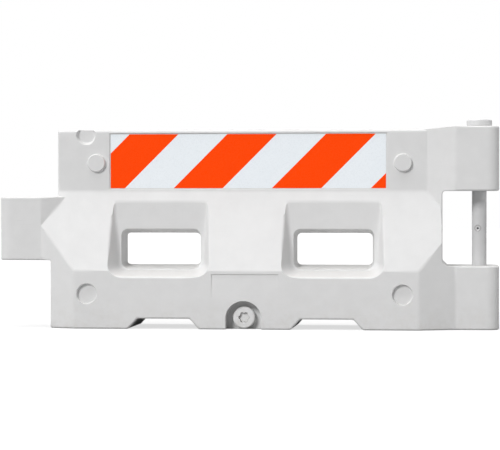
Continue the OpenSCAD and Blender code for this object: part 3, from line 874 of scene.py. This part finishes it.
def add_bump(tree, shader, height, distance, strength):
    """Feeds a height into a Bump node and that into the shader's normal."""
    bump = tree.nodes.new("ShaderNodeBump")
    bump.inputs["Distance"].default_value = distance
    bump.inputs["Strength"].default_value = strength
    tree.links.new(height, bump.inputs["Height"])
    tree.links.new(bump.outputs[0], shader.inputs["Normal"])


# %% Moulded plastics
DUST_COLOUR = (0.50, 0.47, 0.42)
SCUFF_COLOUR = (0.45, 0.45, 0.45)
# The colour of the painted shade round the key socket and the pin's vent
PAINTED_SHADE_COLOUR = (0.24, 0.23, 0.22)
PLASTIC_SPECULAR = 0.35


def paint_shade_ring(tree, surface, strength, values):
    """Paints shade: darkens a surface along a line round a hole's rim, where shade falls."""
    line = use_group(tree, shade_ring_group, **values)
    mask = calculate(tree, "MULTIPLY", line.outputs["Mask"], strength)
    return tint(tree, mask, surface, PAINTED_SHADE_COLOUR)


def moulded_plastic(
        name, colour, cloudy, roughness, grain, dust_amount, scuff_amount, bump, line=None):
    """A moulded plastic with clouds, grain, scuffs and dust, and a line of painted shade if it has
    one.
    """
    material, tree, shader = start_finish(name, roughness, PLASTIC_SPECULAR)
    grains = use_group(tree, skin, Grain_per_metre=grain)
    marks = use_group(tree, scuffs, Amount=scuff_amount)
    dirt = use_group(tree, dust, Amount=dust_amount, Reach=0.22)
    surface = tint(tree, grains.outputs["Clouds"], colour, cloudy)
    surface = tint(tree, marks.outputs["Mask"], surface, SCUFF_COLOUR)
    surface = tint(tree, dirt.outputs["Mask"], surface, DUST_COLOUR)
    # Painted shade round a hole's rim, where a line is given
    if line:
        surface = paint_shade_ring(tree, surface, 0.7, line)
    tree.links.new(surface, shader.inputs["Base Color"])
    rough = span(tree, grains.outputs["Clouds"], 0.0, 1.0, roughness - 0.04, roughness + 0.05)
    rougher = calculate(tree, "MULTIPLY", dirt.outputs["Mask"], 0.35)
    rough = calculate(tree, "ADD", rough, rougher, clamp=True)
    tree.links.new(rough, shader.inputs["Roughness"])
    add_bump(tree, shader, grains.outputs["Height"], 0.4 * MM, bump)
    return material


# Where the painted shade runs in the drain plug's six-lobed key socket
KEY_SOCKET = {
    "Centre_X": plug_x, "Centre_Z": plug_z, "Radius": 20.8 * MM, "Lobe_depth": 2.5 * MM,
    "Half_width": 2.4 * MM, "Front_Y": -0.14,
}
FINISHES = {
    "shell_plastic": moulded_plastic(
        "shell_plastic", (0.735, 0.735, 0.735), (0.70, 0.70, 0.70), roughness=0.46,
        grain=700.0, dust_amount=0.24, scuff_amount=0.14, bump=0.45),
    "cap_plastic": moulded_plastic(
        "cap_plastic", (0.85, 0.85, 0.85), (0.82, 0.82, 0.82), roughness=0.34,
        grain=1400.0, dust_amount=0.4, scuff_amount=0.15, bump=0.2, line=KEY_SOCKET),
    "neck_plastic": moulded_plastic(
        "neck_plastic", (0.72, 0.73, 0.73), (0.68, 0.69, 0.69), roughness=0.42,
        grain=1400.0, dust_amount=0.1, scuff_amount=0.1, bump=0.2),
    "gasket_rubber": moulded_plastic(
        "gasket_rubber", (0.028, 0.028, 0.03), (0.04, 0.04, 0.042), roughness=0.62,
        grain=1800.0, dust_amount=0.2, scuff_amount=0.1, bump=0.4),
}
print(len(FINISHES), "moulded finishes")

# %% The pin's extruded plastic
VENT_TURN = math.radians(12.0)
VENT_Z = 0.4365
# How far the vent's middle is from the pin's axis
VENT_OUT = 31.5 * MM

pin_finish, tree, shader = start_finish("pin_plastic", 0.4, PLASTIC_SPECULAR)
grains = use_group(tree, skin, Grain_per_metre=1100.0)
marks = use_group(tree, scuffs, Amount=0.35)
where = tree.nodes.new("ShaderNodeTexCoord").outputs["Object"]
drawn = tree.nodes.new("ShaderNodeMapping")
drawn.inputs["Scale"].default_value = (60.0, 60.0, 1.2)
tree.links.new(where, drawn.inputs["Vector"])
lines = noise(tree, drawn.outputs[0], scale=8.0)
surface = tint(tree, grains.outputs["Clouds"], (0.665, 0.665, 0.67), (0.63, 0.63, 0.635))
surface = tint(tree, marks.outputs["Mask"], surface, SCUFF_COLOUR)
# Painted shade: a dark ring round the rim of the pin's dished vent
surface = paint_shade_ring(tree, surface, 0.65, {
    "Centre_X": pin_x - VENT_OUT * math.sin(VENT_TURN), "Centre_Z": VENT_Z,
    "Radius": 12.5 * MM, "Half_width": 4.0 * MM, "Front_Y": -0.02,
})
tree.links.new(surface, shader.inputs["Base Color"])
tree.links.new(span(tree, lines, 0.3, 0.7, 0.34, 0.46), shader.inputs["Roughness"])
add_bump(tree, shader, calculate(tree, "ADD", lines, grains.outputs["Height"]), 0.1 * MM, 0.3)
FINISHES["pin_plastic"] = pin_finish


# %% Reflective sheeting
def sheeting(name, colour, seam_colour, gloss, glow, glow_strength):
    """Smooth film over sealed cells; a little light of its own stands for the prisms."""
    material, tree, shader = start_finish(name, 0.3, gloss)
    cells = use_group(tree, prisms, Cells_per_metre=280.0)
    clouds = use_group(tree, skin, Grain_per_metre=900.0)
    seam = calculate(tree, "MULTIPLY", cells.outputs["Seam"], 0.5)
    surface = tint(tree, seam, colour, seam_colour)
    faded = calculate(tree, "MULTIPLY", clouds.outputs["Clouds"], 0.25)
    surface = tint(tree, faded, surface, seam_colour)
    tree.links.new(surface, shader.inputs["Base Color"])
    rough = span(tree, cells.outputs["Tint"], 0.0, 1.0, 0.24, 0.36)
    tree.links.new(rough, shader.inputs["Roughness"])
    shader.inputs["Emission Color"].default_value = (*glow, 1.0)
    shader.inputs["Emission Strength"].default_value = glow_strength
    sunk = calculate(tree, "MULTIPLY", cells.outputs["Seam"], -1.0)
    add_bump(tree, shader, sunk, 0.05 * MM, 0.35)
    return material


FINISHES["white_sheeting"] = sheeting(
    "white_sheeting", (0.86, 0.90, 0.935), seam_colour=(0.80, 0.845, 0.885), gloss=0.4,
    glow=(0.85, 0.93, 1.0), glow_strength=0.05)
FINISHES["orange_film"] = sheeting(
    "orange_film", (1.0, 0.068, 0.002), seam_colour=(0.93, 0.055, 0.002), gloss=0.08,
    glow=(1.0, 0.05, 0.0), glow_strength=0.12)

# %% Giving every piece its finish
SLOTS = {
    "body_shell": "shell_plastic", "front_sheet": "white_sheeting", "rear_sheet": "white_sheeting",
    "fill_neck": "neck_plastic", "drain_neck": "neck_plastic",
    "fill_gasket": "gasket_rubber", "drain_gasket": "gasket_rubber",
    "fill_cap": "cap_plastic", "drain_plug": "cap_plastic",
    "pin_tube": "pin_plastic", "pin_head": "pin_plastic", "pin_nose_plug": "pin_plastic",
}
for obj in list(bpy.data.objects):
    if obj.type != "MESH":
        continue
    node = obj.name.replace("_moulded", "").replace("shell_skin", "body_shell")
    slot = "orange_film" if "stripe" in node else SLOTS[node]
    obj.data.materials.clear()
    obj.data.materials.append(FINISHES[slot])
print("finishes given:", sorted(FINISHES))

# %% [markdown]
# ## Floor, lights and background
#
# The photograph is a cut-out on pure white. A key light from the upper left models the bosses
# and the round recesses, an overhead light makes the slopes brighter than the upright faces,
# and a weak one from the right keeps the far knuckle from going dark.
#
# A white floor would throw most of its light back up and flatten everything, so the floor is
# white for the camera, with the barricade's shadow on it, but only mid grey for the light that
# bounces off it.

# %% Floor
FLOOR_HALF = 30.0
# What the camera sees: a grey that takes the light and the shadow, and a glow that is added
LIT_GREY, GLOW_GREY = 0.32, 0.68
# What the light that bounces off the floor sees
BOUNCE_GREY = 0.36


def grey(level):
    """A shader colour of one grey level."""
    return (level, level, level, 1.0)


floor_bm = bmesh.new()
bmesh.ops.create_grid(floor_bm, x_segments=1, y_segments=1, size=FLOOR_HALF)
floor_mesh = bpy.data.meshes.new("floor")
floor_bm.to_mesh(floor_mesh)
floor_bm.free()
floor = bpy.data.objects.new("floor", floor_mesh)
bpy.context.scene.collection.objects.link(floor)

floor_finish = bpy.data.materials.new("floor")
floor_finish.use_nodes = True
tree = floor_finish.node_tree
tree.nodes.remove(tree.nodes["Principled BSDF"])
shaded = tree.nodes.new("ShaderNodeBsdfDiffuse")
shaded.inputs["Color"].default_value = grey(LIT_GREY)
base = tree.nodes.new("ShaderNodeEmission")
base.inputs["Color"].default_value = grey(GLOW_GREY)
seen = tree.nodes.new("ShaderNodeAddShader")
tree.links.new(shaded.outputs[0], seen.inputs[0])
tree.links.new(base.outputs[0], seen.inputs[1])
unseen = tree.nodes.new("ShaderNodeBsdfDiffuse")
unseen.inputs["Color"].default_value = grey(BOUNCE_GREY)
path = tree.nodes.new("ShaderNodeLightPath")
choose = tree.nodes.new("ShaderNodeMixShader")
tree.links.new(path.outputs["Is Camera Ray"], choose.inputs[0])
tree.links.new(unseen.outputs[0], choose.inputs[1])
tree.links.new(seen.outputs[0], choose.inputs[2])
tree.links.new(choose.outputs[0], tree.nodes["Material Output"].inputs["Surface"])
floor_mesh.materials.append(floor_finish)
print("floor", 2 * FLOOR_HALF, "m wide")

# %% World
AMBIENT_STRENGTH = 0.11

world = bpy.data.worlds.new("studio")
world.use_nodes = True
bpy.context.scene.world = world
tree = world.node_tree
ambient = tree.nodes["Background"]
ambient.inputs["Color"].default_value = grey(1.0)
ambient.inputs["Strength"].default_value = AMBIENT_STRENGTH
white = tree.nodes.new("ShaderNodeBackground")
white.inputs["Strength"].default_value = 1.0
white.inputs["Color"].default_value = grey(1.0)
path = tree.nodes.new("ShaderNodeLightPath")
direct = calculate(tree, "MAXIMUM", path.outputs["Is Camera Ray"], path.outputs["Is Glossy Ray"])
direct = calculate(tree, "MAXIMUM", direct, path.outputs["Is Transmission Ray"])
choose = tree.nodes.new("ShaderNodeMixShader")
tree.links.new(direct, choose.inputs[0])
tree.links.new(ambient.outputs[0], choose.inputs[1])
tree.links.new(white.outputs[0], choose.inputs[2])
tree.links.new(choose.outputs[0], tree.nodes["World Output"].inputs["Surface"])
print("white behind the barricade, ambient light", AMBIENT_STRENGTH)


# %% Lamps
def add_sun(name, towards, size):
    """A soft sun that stands in a direction; the longer the vector, the stronger it is."""
    data = bpy.data.lights.new(name, "SUN")
    data.energy = math.pi * towards.length
    data.angle = math.radians(size)
    lamp = bpy.data.objects.new(name, data)
    lamp.rotation_euler = towards.to_track_quat("Z", "Y").to_euler()
    bpy.context.scene.collection.objects.link(lamp)
    print(name, "strength", round(data.energy, 2))


add_sun("key from the upper left", Vector((-0.27, -0.468, 0.335)), size=18)
add_sun("overhead", Vector((-0.12, 0.0, 0.84)), size=60)
add_sun("fill from the right", Vector((0.235, -0.03, 0.02)), size=40)
